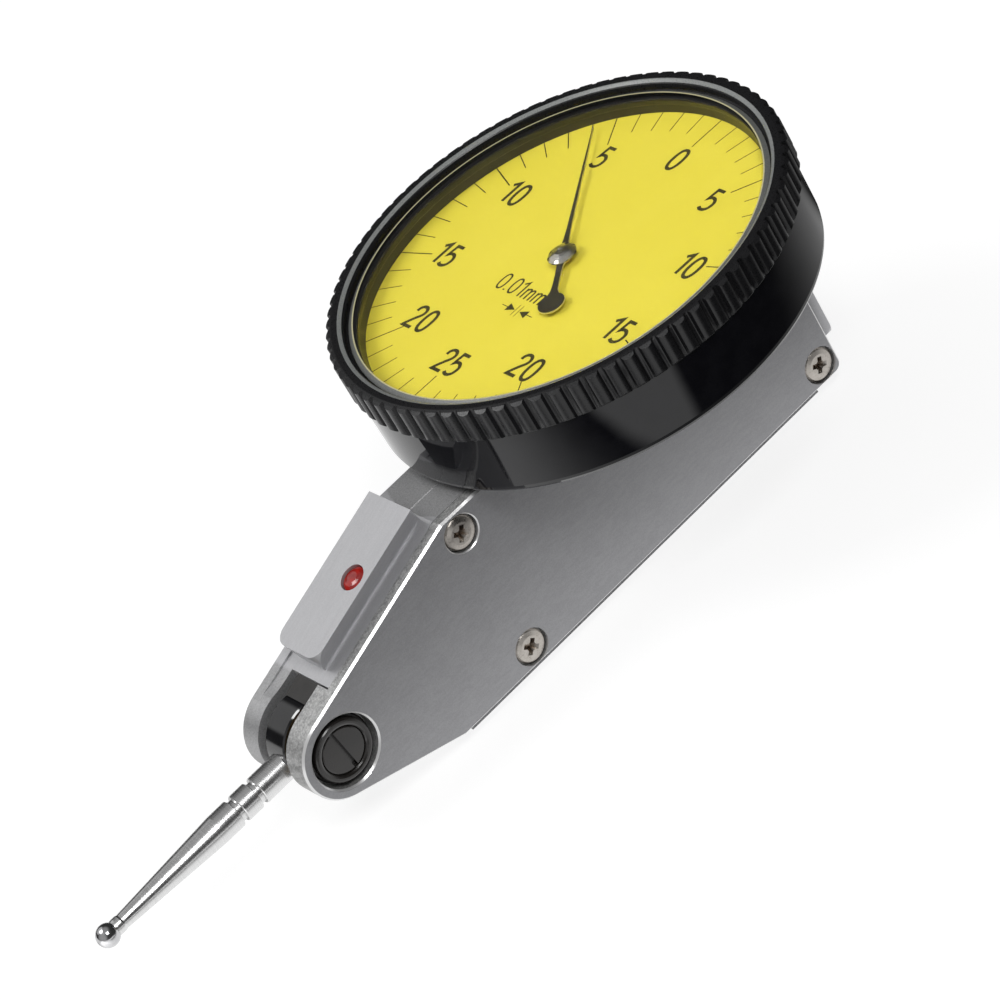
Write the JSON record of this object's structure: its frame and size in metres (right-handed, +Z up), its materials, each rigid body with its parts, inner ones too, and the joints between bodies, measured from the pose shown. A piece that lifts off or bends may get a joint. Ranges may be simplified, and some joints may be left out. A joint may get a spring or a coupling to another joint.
{
  "type": "dial test indicator",
  "caption": "Lever-type dial test indicator with a swivelling ball stylus, a rotating knurled bezel, a yellow dial and dovetails on the front, rear and underside.",
  "frame": {"origin": "centre of the flat face of the bottom dovetail", "axes": "+X from the stylus towards the rear dovetail, +Z up through the dial, along the dial's normal, -Y the side with the removable cover"},
  "size_m": [0.0826, 0.04, 0.0274],
  "materials": {
    "cast_steel": "satin steel casting, machined dovetails",
    "cover_satin": "fine satin grain with bright chamfered edge",
    "screw_nickel": "nickel plated",
    "black_oxide": "black oxide, semi gloss",
    "hub_black": "polished black",
    "bronze": "turned bronze",
    "movement_brass": "fine brushed brass",
    "spring_steel": "polished spring steel",
    "arbor_steel": "turned and polished steel",
    "jewel": "polished synthetic ruby",
    "seal_lacquer": "glossy red lacquer",
    "base_black": "black anodised",
    "bezel_black": "glossy black",
    "seal_rubber": "matte rubber",
    "crystal_clear": "clear polished crystal",
    "dial_yellow": "matte yellow with black graduation",
    "clamp_aluminium": "turned aluminium",
    "pointer_black": "black needle with bare edges",
    "cap_chrome": "polished chrome",
    "stylus_steel": "turned satin steel",
    "ball_carbide": "polished carbide ball"
  },
  "bodies": {
    "frame": {"frame_casting": "cast_steel", "side_cover": "cover_satin", "cover_screws": "screw_nickel", "pivot_lock_ring": "black_oxide", "pivot_screw": "black_oxide", "pivot_bearings": "bronze", "dust_guard": "black_oxide", "adjusting_screw": "arbor_steel", "seal": "seal_lacquer", "return_spring": "spring_steel", "movement_bridge": "movement_brass", "bridge_screws": "screw_nickel", "arbor_jewels": "jewel", "hairspring": "spring_steel", "hairspring_stud": "arbor_steel", "dial_base": "base_black", "centre_bush": "bronze", "base_screws": "screw_nickel", "bezel_friction_ring": "seal_rubber", "retaining_ring": "spring_steel"},
    "bezel_unit": {"bezel": "bezel_black", "crystal": "crystal_clear", "crystal_gasket": "seal_rubber", "dial": "dial_yellow", "dial_clamp_ring": "clamp_aluminium"},
    "pointer_unit": {"centre_arbor": "arbor_steel", "centre_pinion": "arbor_steel", "pointer_boss": "movement_brass", "pointer": "pointer_black", "pointer_cap": "cap_chrome"},
    "crown_unit": {"crown_arbor": "arbor_steel", "first_pinion": "arbor_steel", "crown_wheel": "movement_brass", "hairspring_collet": "movement_brass"},
    "lever_unit": {"lever_sector": "movement_brass", "pivot_shaft": "arbor_steel", "friction_washer": "bronze", "clutch_spring": "spring_steel", "clutch_nut": "arbor_steel"},
    "stylus_unit": {"stylus_hub": "hub_black", "stylus": "stylus_steel", "contact_ball": "ball_carbide"}
  },
  "joints": [
    {"name": "lever_pivot", "type": "hinge", "parent": "frame", "child": "lever_unit", "pos_m": [-0.03085, 0, 0.00837], "axis": [0, 1, 0], "range_deg": [-1.4, 1.4], "stiffness_Nm_per_rad": 0.3, "deforming": ["return_spring"]},
    {"name": "stylus_swivel", "type": "hinge", "parent": "lever_unit", "child": "stylus_unit", "pos_m": [-0.03085, 0, 0.00837], "axis": [0, 1, 0], "range_deg": [-94, 72]},
    {"name": "crown_turn", "type": "hinge", "parent": "frame", "child": "crown_unit", "pos_m": [0.008, 0, 0.00837], "axis": [0, 1, 0], "range_deg": [-75, 75], "deforming": ["hairspring"]},
    {"name": "pointer_turn", "type": "hinge", "parent": "frame", "child": "pointer_unit", "pos_m": [0.008, 0, 0.0249], "axis": [0, 0, 1], "range_deg": [-420, 420]},
    {"name": "bezel_turn", "type": "hinge", "parent": "frame", "child": "bezel_unit", "pos_m": [0.008, 0, 0.0249], "axis": [0, 0, 1], "continuous": true}
  ],
  "couplings": [
    {"joint": "crown_turn", "follows": "lever_pivot", "ratio": -50.8},
    {"joint": "pointer_turn", "follows": "lever_pivot", "ratio": 285.75}
  ]
}
